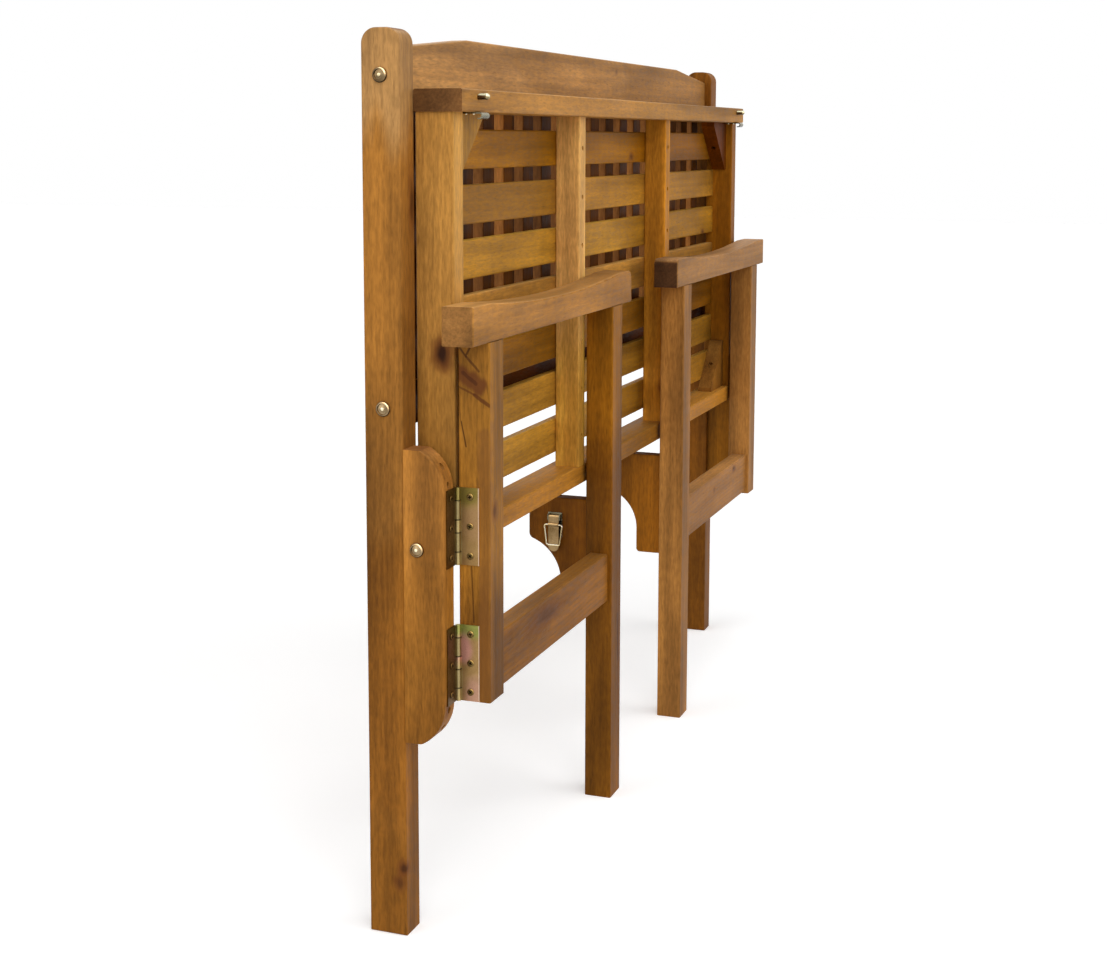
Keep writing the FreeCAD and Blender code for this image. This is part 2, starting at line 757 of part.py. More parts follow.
# Catches: a plate under the front rail that ends in an open hook

curl = d.catch_curl_radius * 2
curl_at = (stud_x - d.catch_width / 2, front_rail_front - d.catch_overhang,
           front_rail_bottom - d.catch_curl_radius)
plate = box((d.catch_width, d.catch_plate_length + d.catch_overhang, d.catch_thickness),
            (curl_at[0], curl_at[1], front_rail_bottom - d.catch_thickness))
tube = cut(rod(curl, d.catch_width, curl_at, X),
           rod(curl - d.catch_thickness * 2, d.catch_width, curl_at, X))
open_half = box((d.catch_width, d.catch_curl_radius, curl),
                (curl_at[0], curl_at[1], front_rail_bottom - curl))
lip = box((d.catch_width, d.catch_lip, d.catch_thickness),
          (curl_at[0], curl_at[1], front_rail_bottom - curl))
pair("catch", cut(fused(plate, cut(tube, open_half), lip), *catch_screw_holes))


# Side frames: arm post, front leg, arm and cross rail

swing_face_x = hinge_x + d.knuckle_diameter / 2
leg_x = hinge_x + d.leg_reach
stile_front = frame_back - d.stile_depth
cross_at = (swing_face_x + d.stile_width, frame_back - (d.stile_depth + d.cross_rail_thickness) / 2,
            d.cross_rail_bottom)
cross_size = (leg_x - swing_face_x - d.stile_width, d.cross_rail_thickness, d.cross_rail_height)
cross_rail, cross_core = tenoned_bar(cross_size, cross_at, X, d.tenon_shoulder, d.tenon_length)
pair("cross_rail", cross_rail)


def stile(left, bottom):
    """Upright of a side frame with a tenon in its top."""
    height = d.arm_underside - bottom
    bar = box((d.stile_width, d.stile_depth, height), (left, stile_front, bottom))
    tenon = box((d.stile_width - d.tenon_shoulder * 2, d.stile_depth - d.tenon_shoulder * 2,
                 d.tenon_length * 2),
                (left + d.tenon_shoulder, stile_front + d.tenon_shoulder,
                 d.arm_underside - d.tenon_length))
    return fused(eased(bar, d.arris_radius, Z), tenon), tenon


arm_post, arm_post_tenon = stile(swing_face_x, d.arm_post_bottom)
front_leg, front_leg_tenon = stile(leg_x, ZERO)
pair("arm_post", cut(arm_post, cross_core, *swing_screw_holes))
pair("front_leg", cut(front_leg, cross_core))

arm_tail = d.block_depth + d.knuckle_diameter / 2 - d.arm_post_clearance
scoop_chord = d.arm_length - d.arm_flat * 2
scoop_radius = ((scoop_chord * scoop_chord / 4 + d.arm_scoop * d.arm_scoop) / (d.arm_scoop * 2))
arm = board("XZ_Plane", [(ZERO, ZERO), (d.arm_length, ZERO),
                         (d.arm_length, d.arm_thickness - d.arm_nose_radius, d.arm_nose_radius, 1),
                         (d.arm_length - d.arm_nose_radius, d.arm_thickness),
                         (d.arm_length - d.arm_flat, d.arm_thickness, scoop_radius, -1),
                         (d.arm_flat, d.arm_thickness), (ZERO, d.arm_thickness)],
            d.arm_width, (hinge_x - arm_tail, frame_back, d.arm_underside))
pair("arm", cut(softened(arm, d.arris_radius, Y), arm_post_tenon, front_leg_tenon))


# Front brackets: scalloped boards behind the legs that carry the front of the seat

bracket_x = leg_x + (d.stile_width - d.bracket_thickness) / 2
bracket_bottom = d.bracket_top - d.bracket_height
scallop_run = d.bracket_reach - d.bracket_foot
scallop_rise = d.bracket_scallop_rise
scallop_radius = ((scallop_run * scallop_run + scallop_rise * scallop_rise) / (scallop_run * 2))
tip_bottom = d.bracket_height - d.bracket_end_height
bracket = board("YZ_Plane", [(ZERO, ZERO), (d.bracket_foot, ZERO),
                             (d.bracket_foot, tip_bottom - scallop_rise, scallop_radius, -1),
                             (d.bracket_reach, tip_bottom), (d.bracket_reach, d.bracket_height),
                             (ZERO, d.bracket_height)],
                d.bracket_thickness, (bracket_x, frame_back, bracket_bottom))


def bracket_edge(y, z):
    """Test for the edge across the bracket at a point of its outline."""
    y_edge = frame_back.value + y.value
    z_edge = bracket_bottom.value + z.value

    def is_there(edge):
        middle = edge.CenterOfMass
        across = edge.BoundBox.XLength > 1
        return across and abs(middle.y - y_edge) < 0.01 and abs(middle.z - z_edge) < 0.01

    return is_there


bracket = filleted(bracket, d.bracket_tip_radius, bracket_edge(d.bracket_reach, tip_bottom))
bracket = filleted(bracket, d.bracket_foot_radius, bracket_edge(d.bracket_foot, ZERO))
bracket = softened(bracket, d.arris_radius, X)
seat_turn_y = hinge_y - hinge_x + stud_x
socket_mouth = (bracket_x + d.bracket_thickness / 2 + d.stud_rise, seat_turn_y,
                d.bracket_top + d.drill_overrun)
socket_depth = d.stud_proud + d.stud_clearance + d.drill_overrun
stud_socket = rod(d.stud_head_diameter + d.stud_clearance * 2, socket_depth, socket_mouth, -Z)


# Toggle latches: base, pin, lever and wire bail on the back of each bracket

latch_z = d.bracket_top - d.latch_pivot_drop
latch_x = bracket_x - d.latch_pivot_standoff
ear_inside = d.lever_width / 2 + d.knuckle_gap
ear_size = (d.latch_pivot_standoff + d.lever_barrel_diameter / 2, d.latch_sheet,
            d.lever_barrel_diameter + d.latch_ear_margin * 2)
ear_at = (bracket_x - ear_size[0], seat_turn_y + ear_inside, latch_z - ear_size[2] / 2)
other_ear_at = (ear_at[0], seat_turn_y - ear_inside - d.latch_sheet, ear_at[2])
base_plate = box((d.latch_sheet, d.latch_base_width, d.latch_base_height),
                 (bracket_x - d.latch_sheet, seat_turn_y - d.latch_base_width / 2,
                  latch_z + d.latch_base_rise - d.latch_base_height))
pin_length = (ear_inside + d.latch_sheet + d.latch_pin_proud) * 2
pin_at = (latch_x, seat_turn_y - pin_length / 2, latch_z)
latch_pin_hole = rod(d.latch_pin_diameter + bore_gap, pin_length, pin_at, Y)
latch_screws, latch_screw_holes = [], []
for drop in (d.latch_screw_drop, d.latch_screw_drop + d.latch_screw_pitch):
    surface = (bracket_x - d.latch_sheet, seat_turn_y, latch_z - drop)
    screw, hole = pan_screw(surface, X, d.latch_screw_diameter, d.latch_screw_length,
                            d.latch_screw_head_diameter, d.latch_screw_head_height)
    latch_screws.append(screw)
    latch_screw_holes.append(hole)
pair("latch_base", cut(fused(base_plate, box(ear_size, ear_at), box(ear_size, other_ear_at)),
                       latch_pin_hole, *latch_screw_holes))
pair("latch_pin", rod(d.latch_pin_diameter, pin_length, pin_at, Y))
pair("frame_screws", grouped(*swing_screws, *latch_screws))
pair("front_bracket", cut(bracket, stud_socket, *latch_screw_holes))

lever_outer = latch_x - d.lever_barrel_diameter / 2
lever_side = seat_turn_y - d.lever_width / 2
bail_x = lever_outer + d.bail_wire_diameter / 2 - d.bail_tube_diameter / 2
bail_z = latch_z - d.bail_drop
tip_round = d.lever_width / 2
lever_plate = box((d.lever_thickness, d.lever_width, d.lever_length - tip_round),
                  (lever_outer, lever_side, latch_z - d.lever_length + tip_round))
lever_tip = rod(d.lever_width, d.lever_thickness,
                (lever_outer, seat_turn_y, latch_z - d.lever_length + tip_round), X)
barrel = rod(d.lever_barrel_diameter, d.lever_width, (latch_x, lever_side, latch_z), Y)
bail_tube = rod(d.bail_tube_diameter, d.lever_width, (bail_x, lever_side, bail_z), Y)
bail_bore = rod(d.bail_wire_diameter + bore_gap, d.lever_width, (bail_x, lever_side, bail_z), Y)
pair("latch_lever", cut(fused(lever_plate, lever_tip, barrel, bail_tube), latch_pin_hole,
                        bail_bore))


def bent_wire(points, bend_radius, diameter):
    """Round wire through points, with an arc of the given radius at each bend."""
    edges = []
    start = points[0]
    for before, corner, after in zip(points, points[1:], points[2:]):
        back = (before - corner).normalize()
        ahead = (after - corner).normalize()
        half_angle = back.getAngle(ahead) / 2
        trim = bend_radius / math.tan(half_angle)
        inward = (back + ahead).normalize()
        arc_middle = corner + inward * (bend_radius / math.sin(half_angle) - bend_radius)
        arc_start, arc_end = corner + back * trim, corner + ahead * trim
        edges.append(Part.LineSegment(start, arc_start).toShape())
        edges.append(Part.Arc(arc_start, arc_middle, arc_end).toShape())
        start = arc_end
    edges.append(Part.LineSegment(start, points[-1]).toShape())
    heading = points[1] - points[0]
    section = Part.Wire(Part.Circle(points[0], heading, diameter / 2).toShape())
    return Part.Wire(edges).makePipeShell([section], True, False)


bail_outline = [(d.bail_end_gap.value / 2, 0), (d.bail_top_width.value / 2, 0),
                (d.bail_tip_width.value / 2, -d.bail_length.value)]
bail_outline += [(-across, along) for across, along in reversed(bail_outline)]
bail_points = [FreeCAD.Vector(bail_x.value, seat_turn_y.value + across, bail_z.value + along)
               for across, along in bail_outline]
bail = doc.addObject("Part::Feature", "Bail")
bail.Shape = bent_wire(bail_points, d.bail_bend_radius.value, d.bail_wire_diameter.value)
pair("latch_bail", bail)


# Check every feature and write one file per piece

doc.recompute()
for feature in doc.Objects:
    if "Invalid" in feature.State or "Error" in feature.State:
        raise RuntimeError(f"{feature.Name} failed to build")
for label, piece in nodes.items():
    if piece.Shape.isNull() or not piece.Shape.isValid():
        raise RuntimeError(f"{label} has no valid shape")

os.makedirs("parts", exist_ok=True)
for label, piece in nodes.items():
    piece.Shape.exportStep(f"parts/{label}.step")
print(f"{len(nodes)} pieces written")
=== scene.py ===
import math

import bpy
from mathutils import Matrix, Vector


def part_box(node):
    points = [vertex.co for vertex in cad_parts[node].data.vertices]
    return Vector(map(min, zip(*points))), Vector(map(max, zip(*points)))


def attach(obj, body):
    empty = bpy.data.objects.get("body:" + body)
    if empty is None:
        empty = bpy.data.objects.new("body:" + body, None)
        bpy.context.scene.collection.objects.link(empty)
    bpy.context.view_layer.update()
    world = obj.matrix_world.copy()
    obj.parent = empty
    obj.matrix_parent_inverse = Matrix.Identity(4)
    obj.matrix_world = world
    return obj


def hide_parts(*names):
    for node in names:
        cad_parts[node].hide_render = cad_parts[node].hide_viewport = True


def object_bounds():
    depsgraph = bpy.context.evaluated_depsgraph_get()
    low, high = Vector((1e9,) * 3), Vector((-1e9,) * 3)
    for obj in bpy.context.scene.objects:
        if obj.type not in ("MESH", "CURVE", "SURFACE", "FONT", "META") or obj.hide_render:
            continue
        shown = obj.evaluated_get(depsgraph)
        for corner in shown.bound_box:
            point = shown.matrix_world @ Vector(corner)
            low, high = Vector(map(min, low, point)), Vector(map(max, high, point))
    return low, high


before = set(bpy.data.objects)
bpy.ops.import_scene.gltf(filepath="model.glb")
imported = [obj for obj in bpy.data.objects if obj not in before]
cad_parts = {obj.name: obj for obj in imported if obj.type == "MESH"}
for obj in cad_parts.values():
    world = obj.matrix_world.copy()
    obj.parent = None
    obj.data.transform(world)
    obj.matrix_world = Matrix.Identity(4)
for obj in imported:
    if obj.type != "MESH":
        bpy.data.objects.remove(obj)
cad_low, cad_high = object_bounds()
bpy.context.scene.view_settings.view_transform = "Standard"

# The two posts of the back, sawn from acacia and rounded over at the top.
# They carry the whole bench when it is folded, and their outer faces show the grain best.
# Every board below is finished with the same golden oil, so its recipe is set up here.


def seen(red, green, blue):
    """A colour as it looks on a screen, 0 to 255, as the linear light that a shader wants."""
    linear = [((c / 255 + 0.055) / 1.055) ** 2.4 if c > 10 else c / 3294.6 for c in (red, green, blue)]
    return (*linear, 1.0)


def toned(colour, share, warmth=1.0):
    """The colour made darker or lighter by a share, with its blue held back by the warmth."""
    red, green, blue = colour
    return tuple(min(255, c) for c in (red * share, green * share / warmth ** 0.5, blue * share / warmth))


def wired(tree, kind, feeds, **settings):
    """A shader node with its settings, and each socket set to a value or fed by another node's output."""
    made = tree.nodes.new("ShaderNode" + kind)
    for name, value in settings.items():
        setattr(made, name, value)
    for socket, feed in feeds.items():
        if isinstance(feed, bpy.types.NodeSocket):
            tree.links.new(feed, made.inputs[socket])
        else:
            made.inputs[socket].default_value = feed
    return made


def sum_of(tree, a, b, by="ADD"):
    """a + b, or another sum of two numbers, such as a times b."""
    return wired(tree, "Math", {0: a, 1: b}, operation=by).outputs[0]


def size_of(tree, value):
    """The value without its sign."""
    return wired(tree, "Math", {0: value}, operation="ABSOLUTE").outputs[0]


def vector_of(tree, a, b, by="ADD"):
    """a + b, or another sum of two vectors."""
    return wired(tree, "VectorMath", {0: a, 1: b}, operation=by).outputs[0]


def scaled(tree, vector, share):
    """The vector made longer or shorter by a share."""
    return wired(tree, "VectorMath", {0: vector, "Scale": share}, operation="SCALE").outputs[0]


def length_of(tree, vector):
    """How long a vector is."""
    return wired(tree, "VectorMath", {0: vector}, operation="LENGTH").outputs["Value"]


def along_way(tree, vector, way):
    """How far a vector goes along a way."""
    return wired(tree, "VectorMath", {0: vector, 1: way}, operation="DOT_PRODUCT").outputs["Value"]


def stretched(tree, value, low, high, start=0.0, end=1.0):
    """The value's stretch from low to high, laid over start to end and eased at both."""
    return wired(
        tree, "MapRange", {"Value": value, "From Min": low, "From Max": high, "To Min": start, "To Max": end},
        interpolation_type="SMOOTHSTEP").outputs["Result"]


def mixed(tree, share, under, over, blend="MIX"):
    """Two colours mixed by a share, through the colour sockets of the Mix node."""
    factor, first_colour, second_colour, colour_result = 0, 6, 7, 2
    feeds = {factor: share, first_colour: under, second_colour: over}
    return wired(tree, "Mix", feeds, data_type="RGBA", blend_type=blend).outputs[colour_result]


def tinted(tree, share, colour, hue):
    """The colour times a hue, to a share: 255 keeps a channel as it is, and more makes it lighter."""
    return mixed(tree, share, colour, mixed(tree, 1.0, colour, seen(*hue), "MULTIPLY"))


def grain_noise(tree, board, along, across, detail=2.0):
    """Noise that is drawn out along the board, with so many swings to the metre each way."""
    drawn = vector_of(tree, board, (along, across, across), "MULTIPLY")
    return wired(tree, "TexNoise", {"Vector": drawn, "Scale": 1.0, "Detail": detail, "Roughness": 0.55})


def straying(tree, board, along, across):
    """Grain noise as a small step to any side."""
    noise = grain_noise(tree, board, along, across).outputs["Color"]
    return vector_of(tree, noise, (0.5, 0.5, 0.5), "SUBTRACT")


def own_grain(tree, plain, place, seed, row):
    """The board's own stretch of the noise, and for a row of like slats a number for each of them."""
    board = vector_of(tree, plain, (seed * 1.371, seed * 0.717, seed * 0.533))
    if not row:
        return board, None
    axis, start, pitch = row
    number = sum_of(tree, sum_of(tree, place.outputs[axis], -start), pitch, "DIVIDE")
    number = wired(tree, "Math", {0: number}, operation="FLOOR").outputs[0]
    slat = wired(tree, "TexWhiteNoise", {"W": number}, noise_dimensions="1D")
    moved = vector_of(tree, slat.outputs["Color"], (9.0, 5.0, 5.0), "MULTIPLY")
    return vector_of(tree, board, moved), slat.outputs["Value"]


def growth_rings(tree, board, plain, heart, ring, knots):
    """The late wood of rings that wander about the heart, and how far each knot that bends them is."""
    wander = vector_of(tree, straying(tree, board, 1.6, 7.0), (0.0, 0.045, 0.045), "MULTIPLY")
    across = vector_of(tree, plain, (0.0, 1.0, 1.0), "MULTIPLY")
    across = vector_of(tree, across, heart, "SUBTRACT")
    reach = length_of(tree, vector_of(tree, across, wander))
    eyes = []
    for spot, size, length, strength in knots:
        gone = vector_of(tree, plain, spot, "SUBTRACT")
        gone = vector_of(tree, gone, (1 / length, 1 / size, 1 / size), "MULTIPLY")
        far = length_of(tree, vector_of(tree, gone, straying(tree, board, 40.0, 90.0)))
        reach = sum_of(tree, reach, stretched(tree, far, 0.4, 2.4, size * 1.1, 0.0))
        eyes.append((far, strength))
    fine = grain_noise(tree, board, 6.0, 260.0).outputs["Fac"]
    turns = sum_of(tree, sum_of(tree, reach, ring, "DIVIDE"), sum_of(tree, fine, 0.9, "MULTIPLY"))
    turns = wired(tree, "Math", {0: turns}, operation="FRACT").outputs[0]
    late = sum_of(tree, stretched(tree, turns, 0.15, 0.82), stretched(tree, turns, 0.86, 1.0), "SUBTRACT")
    return late, eyes


def far_from_line(tree, plain, waver, start, end):
    """How far a place, moved by the waver, is from the line between two points."""
    run = tuple(b - a for a, b in zip(start, end))
    gone = vector_of(tree, vector_of(tree, plain, start, "SUBTRACT"), waver)
    part = wired(tree, "Math", {0: along_way(tree, gone, run), 1: sum(c * c for c in run)},
                 operation="DIVIDE", use_clamp=True).outputs[0]
    return length_of(tree, vector_of(tree, gone, scaled(tree, run, part), "SUBTRACT"))


def oiled_acacia(name, along, tone, seed, middle, pith=(0.07, 0.9), ring=0.0055, figure=1.0,
                 knots=(), streaks=(), casts=(), aged=(), ends=(196, 184, 190), row=None):
    """One board's oiled acacia: rings about a pith that lies beside the board, fibres, pores and knots, with
    painted light and shade on some of its faces.
    """
    material = bpy.data.materials.new(name)
    material.use_nodes = True
    tree = material.node_tree
    shader = tree.nodes["Principled BSDF"]
    place = wired(tree, "TexCoord", {})
    split = wired(tree, "SeparateXYZ", {0: place.outputs["Object"]})
    order = {"X": (0, 1, 2), "Y": (1, 2, 0), "Z": (2, 0, 1)}[along]

    def turned(point):
        """A point's measures, with the one along the board first."""
        return tuple(point[k] for k in order)

    plain = wired(tree, "CombineXYZ", {i: split.outputs[k] for i, k in enumerate(order)}).outputs[0]
    board, own = own_grain(tree, plain, split, seed, row)
    off_middle, angle = pith
    _, side, depth = turned(middle)
    heart = (0.0, side + off_middle * math.cos(angle), depth + off_middle * math.sin(angle))
    own_knots = [(turned(spot), *look) for spot, *look in knots]
    late, eyes = growth_rings(tree, board, plain, heart, ring, own_knots)

    # Streaks of heartwood, slow blotches, ripples across the grain, single fibres and open pores.
    streak = stretched(tree, grain_noise(tree, board, 1.6, 60.0, 3.0).outputs["Fac"], 0.3, 0.7)
    blotch = stretched(tree, grain_noise(tree, board, 2.6, 15.0).outputs["Fac"], 0.3, 0.7)
    ripple = stretched(tree, grain_noise(tree, board, 70.0, 45.0).outputs["Fac"], 0.3, 0.7)
    fibre = grain_noise(tree, board, 80.0, 420.0, 3.0).outputs["Fac"]
    pore = stretched(tree, grain_noise(tree, board, 70.0, 640.0, 1.0).outputs["Fac"], 0.58, 0.76)
    darkness = sum_of(tree, late, 0.05 * figure, "MULTIPLY")
    for shade, share in ((streak, 0.18), (blotch, 0.42), (ripple, 0.05)):
        darkness = sum_of(tree, darkness, sum_of(tree, shade, share, "MULTIPLY"))
    if row:
        slat_spread = 0.3
        darkness = sum_of(tree, darkness, sum_of(tree, own, slat_spread, "MULTIPLY"))
        darkness = sum_of(tree, darkness, -slat_spread / 2)
    ramp = wired(tree, "ValToRGB", {"Fac": darkness})
    palest, darkest = ramp.color_ramp.elements
    palest.color, palest.position = seen(*toned(tone, 1.30, 0.97)), 0.0
    darkest.color, darkest.position = seen(*toned(tone, 0.58, 1.12)), 0.80
    ramp.color_ramp.elements.new(0.355).color = seen(*tone)
    colour = ramp.outputs["Color"]

    # Stretches where the board changes colour along its length: on some boards the wood's own colour, on
    # others painted light and shade, as told where the board is finished.
    cast_wander, cast_edge = 0.16, 0.03
    length = wired(tree, "SeparateXYZ", {0: plain}).outputs[0]
    drift = sum_of(tree, grain_noise(tree, board, 5.0, 30.0).outputs["Fac"], cast_wander, "MULTIPLY")
    for start, end, hue in casts:
        half = (end - start) / 2
        off = size_of(tree, sum_of(tree, sum_of(tree, length, drift), -(start + end) / 2 - cast_wander / 2))
        colour = tinted(tree, stretched(tree, off, half - cast_edge, half + cast_edge, 1.0, 0.0), colour, hue)
    fibre_share = stretched(tree, fibre, 0.25, 0.75, 0.80, 1.16)
    fibre_grey = wired(tree, "CombineXYZ", {0: fibre_share, 1: fibre_share, 2: fibre_share}).outputs[0]
    colour = mixed(tree, 1.0, colour, fibre_grey, "MULTIPLY")
    colour = mixed(tree, sum_of(tree, pore, 0.22, "MULTIPLY"), colour, seen(*toned(tone, 0.35, 1.3)))

    # Streaks and cracks, drawn from point to point with a ragged edge.
    ragged = straying(tree, board, 30.0, 120.0)
    for start, end, width, hue, share in streaks:
        far = far_from_line(tree, plain, scaled(tree, ragged, width * 1.2), turned(start), turned(end))
        colour = mixed(tree, stretched(tree, far, width * 0.55, width * 1.15, share, 0.0), colour, seen(*hue))

    # Knots: a dark core inside a red-brown eye.
    for far, strength in eyes:
        eye = stretched(tree, far, 0.75, 1.7, 0.75 * strength, 0.0)
        colour = mixed(tree, eye, colour, seen(104, 56, 26))
        core = stretched(tree, far, 0.25, 1.0, 0.9 * strength, 0.0)
        colour = mixed(tree, core, colour, seen(52, 28, 16))

    # Painted light and shade by the way a face looks: upper faces paler and bluer, as light and sheen from
    # above, and on some boards the listed faces paler or darker.
    painted_top_light = ((0.0, 0.0, 1.0), (282, 300, 352))
    for way, hue in (painted_top_light, *aged):
        turned_to_way = along_way(tree, place.outputs["Normal"], way)
        colour = tinted(tree, stretched(tree, turned_to_way, 0.5, 0.9), colour, hue)

    # End grain drinks more oil and goes dark and greyer.
    facing = wired(tree, "SeparateXYZ", {0: place.outputs["Normal"]}).outputs[order[0]]
    end = stretched(tree, size_of(tree, facing), 0.72, 0.95)
    colour = tinted(tree, sum_of(tree, end, 0.9, "MULTIPLY"), colour, ends)
    tree.links.new(colour, shader.inputs["Base Color"])
    gloss = sum_of(tree, stretched(tree, fibre, 0.3, 0.7, 0.40, 0.56), sum_of(tree, end, 0.16, "MULTIPLY"))
    tree.links.new(gloss, shader.inputs["Roughness"])
    shader.inputs["Specular IOR Level"].default_value = 0.06
    height = sum_of(tree, fibre, sum_of(tree, pore, -0.9, "MULTIPLY"))
    height = sum_of(tree, height, sum_of(tree, late, 0.5, "MULTIPLY"))
    bump = wired(tree, "Bump", {"Height": height, "Strength": 0.22, "Distance": 0.0006})
    tree.links.new(bump.outputs["Normal"], shader.inputs["Normal"])
    return material


def dressed(node, material):
    """Gives a CAD node its one material."""
    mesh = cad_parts[node].data
    mesh.materials.clear()
    mesh.materials.append(material)
    for face in mesh.polygons:
        face.material_index = 0


def finish_board(node, along, tone, seed, **figure):
    """Oils one board of the frame in its own grain and tone."""
    low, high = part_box(node)
    dressed(node, oiled_acacia(node + "_oiled", along, tone, seed, (low + high) / 2, **figure))


# A knot is given by its place, its width, its length and how dark it is.
# A cast is given by where it starts and ends along the board, and its hue.
# On the left post the casts are painted light: paler and bluer near the top, darker low down, as the light
# falls off.
finish_board(
    "left_post", "Z", (144, 95, 39), 1.0, pith=(0.09, 2.4),
    knots=(((-0.585, 0.0214, 0.071), 0.007, 0.008, 0.8),
           ((-0.585, 0.0254, 0.055), 0.006, 0.009, 0.6),
           ((-0.56, 0.0184, 0.735), 0.006, 0.030, 0.7),
           ((-0.582, 0.0184, 0.437), 0.003, 0.005, 0.7)),
    casts=((0.80, 1.2, (287, 318, 420)), (0.55, 0.80, (256, 255, 252)),
           (0.10, 0.40, (224, 214, 188)), (-0.2, 0.10, (202, 194, 170))))
# The right post's dark tone is partly its wood and partly painted shade, as the left frame keeps the light
# off its outer face.
finish_board("right_post", "Z", (110, 66, 18), 2.0, pith=(0.08, 0.7))

# The crest rail, a board cut low at both ends, held between the posts by a bolt at each end.
# The lower back rail is plain, is bolted the same way, and takes the slats' lower ends.
# The crest rail's casts are painted light, paler at its left end and darker to the right, as the light falls
# off.
finish_board(
    "crest_rail", "X", (163, 117, 64), 3.0, pith=(0.05, 1.2), ring=0.008,
    knots=(((0.106, 0.0284, 0.884), 0.004, 0.006, 0.3),),
    casts=((-0.7, -0.25, (268, 272, 284)), (0.15, 0.7, (228, 224, 216))))
facing_front = (0.0, -1.0, 0.0)
# The lower rail's front face is painted darker, the shade that falls behind the folded seat.
finish_board(
    "back_lower_rail", "X", (133, 80, 21), 4.0, pith=(0.08, 2.0),
    aged=((facing_front, (132, 106, 50)),))

# Eighteen thin slats of the back, tenoned into the two rails, each from another plank.
# Their front faces are painted darker, the shade where the seat covers them, and their left edges paler and
# bluer, painted light from behind.
facing_left = (-1.0, 0.0, 0.0)
row_start, slat_pitch = -0.585, 0.065
finish_board(
    "back_slats", "Z", (134, 83, 27), 5.0, pith=(0.06, 1.9), row=(0, row_start, slat_pitch),
    aged=((facing_left, (285, 296, 400)), (facing_front, (176, 162, 100))))

# The hinge blocks, screwed to the posts' front edges with rounded noses above and below.
# They hold the hinges and the seat's pivot bolts.
# The left block's casts are painted light: paler towards the top, darker towards the bottom.
finish_board(
    "left_hinge_block", "Z", (155, 101, 37), 6.0, pith=(0.06, 2.9),
    knots=(((-0.575, -0.0216, 0.24), 0.005, 0.009, 0.7),),
    casts=((0.40, 0.7, (284, 288, 320)), (0.32, 0.40, (268, 268, 275)), (0.0, 0.23, (236, 233, 228))))
# The right block's dark tone is partly its wood and partly painted shade.
finish_board("right_hinge_block", "Z", (124, 77, 17), 7.0, pith=(0.07, 0.3))

# The seat frame: side rails tenoned between a rear rail and a longer front rail.
# The folded seat stands on its rear edge, so its underside is what shows.
finish_board(
    "seat_front_rail", "X", (152, 106, 51), 8.0, pith=(0.045, 0.7), ring=0.005, ends=(190, 184, 214),
    casts=((0.0, 0.45, (238, 238, 234)),))
finish_board("seat_rear_rail", "X", (147, 96, 31), 9.0, pith=(0.06, 2.2))
# On the left side rail the cast darkens a stretch of it as painted shade, and its front face is painted paler
# as painted light and sheen.
finish_board(
    "left_seat_side_rail", "Z", (155, 109, 50), 10.0, pith=(0.07, 1.1),
    knots=(((-0.5525, -0.0088, 0.587), 0.0100, 0.0150, 1.1),),
    casts=((0.30, 0.60, (228, 224, 214)),), aged=((facing_front, (276, 284, 296)),))
# The right side rail's dark tone is partly its wood and partly painted shade.
finish_board("right_seat_side_rail", "Z", (132, 80, 14), 11.0, pith=(0.07, 0.2))

# Two bearers under the slats, tenoned between the front and rear rails.
# A screw goes through the bearer into each slat.
# On the left bearer the casts are painted light: paler and bluer at the top, darker lower down.
finish_board(
    "left_bearer", "Z", (208, 154, 70), 12.0, pith=(0.08, 1.4),
    casts=((0.58, 1.0, (272, 276, 330)), (0.3, 0.53, (238, 232, 205))))
# The right bearer's darker tone is partly its wood and partly painted shade.
finish_board(
    "right_bearer", "Z", (178, 116, 33), 13.0, pith=(0.08, 0.5),
    knots=(((0.166, -0.0213, 0.455), 0.006, 0.014, 0.8),))

# Seven seat slats with eased edges, tenoned into the side rails.
# Each has its own colour from straw to walnut, and some change colour along their length.
for slat, (tone, pith, knots, casts) in enumerate((
        ((135, 86, 12), (0.05, 1.0), (((0.105, 0.0059, 0.772), 0.006, 0.010, 0.6),),
         ((-0.7, -0.3, (272, 274, 270)), (0.1, 0.7, (242, 234, 218)))),
        ((142, 97, 31), (0.09, 2.4), (),
         ((-0.6, -0.13, (224, 222, 232)), (-0.13, 0.6, (276, 276, 276)))),
        ((166, 117, 37), (0.06, 0.6), (((0.47, 0.0059, 0.655), 0.005, 0.009, 0.7),),
         ((0.05, 0.6, (228, 224, 216)),)),
        ((160, 111, 47), (0.08, 1.7), (), ()),
        ((142, 91, 18), (0.05, 2.8), (), ((0.3, 0.7, (216, 210, 206)),)),
        ((158, 110, 34), (0.07, 1.3), (),
         ((-0.7, -0.2, (276, 278, 288)), (0.0, 0.7, (220, 216, 208)))),
        ((155, 109, 36), (0.06, 2.1), (), ((0.0, 0.7, (242, 234, 218)),)))):
    finish_board(
        f"seat_slat_{slat + 1}", "X", tone, 14.0 + slat, pith=pith, ring=0.007, knots=knots, casts=casts)

# Four corner blocks that hold the seat frame square.
# Each is fixed by one screw through its slanted face into the frame's corner.
for block, (node, tone) in enumerate((
        ("left_front_corner_block", (187, 135, 57)), ("right_front_corner_block", (102, 48, 1)),
        ("left_rear_corner_block", (158, 108, 52)), ("right_rear_corner_block", (127, 82, 29)))):
    finish_board(node, "Z", tone, 21.0 + block, pith=(0.05, 1.0 + block))

# The side frames that swing out: an arm with a scooped top on two stiles, and a cross rail between them.
# The shorter stile is the arm post, which carries the hinges, and the longer one is the front leg.
# On the left arm the casts are painted light, paler at its left end and darker towards the middle, as the
# light falls off.
finish_board(
    "left_arm", "X", (146, 99, 45), 25.0, pith=(0.05, 1.8), ring=0.006, ends=(206, 208, 238),
    casts=((-0.7, -0.40, (266, 268, 272)), (-0.2, 0.1, (232, 230, 230))))
finish_board("right_arm", "X", (143, 100, 54), 26.0, pith=(0.06, 1.2), ring=0.006, ends=(130, 124, 152))

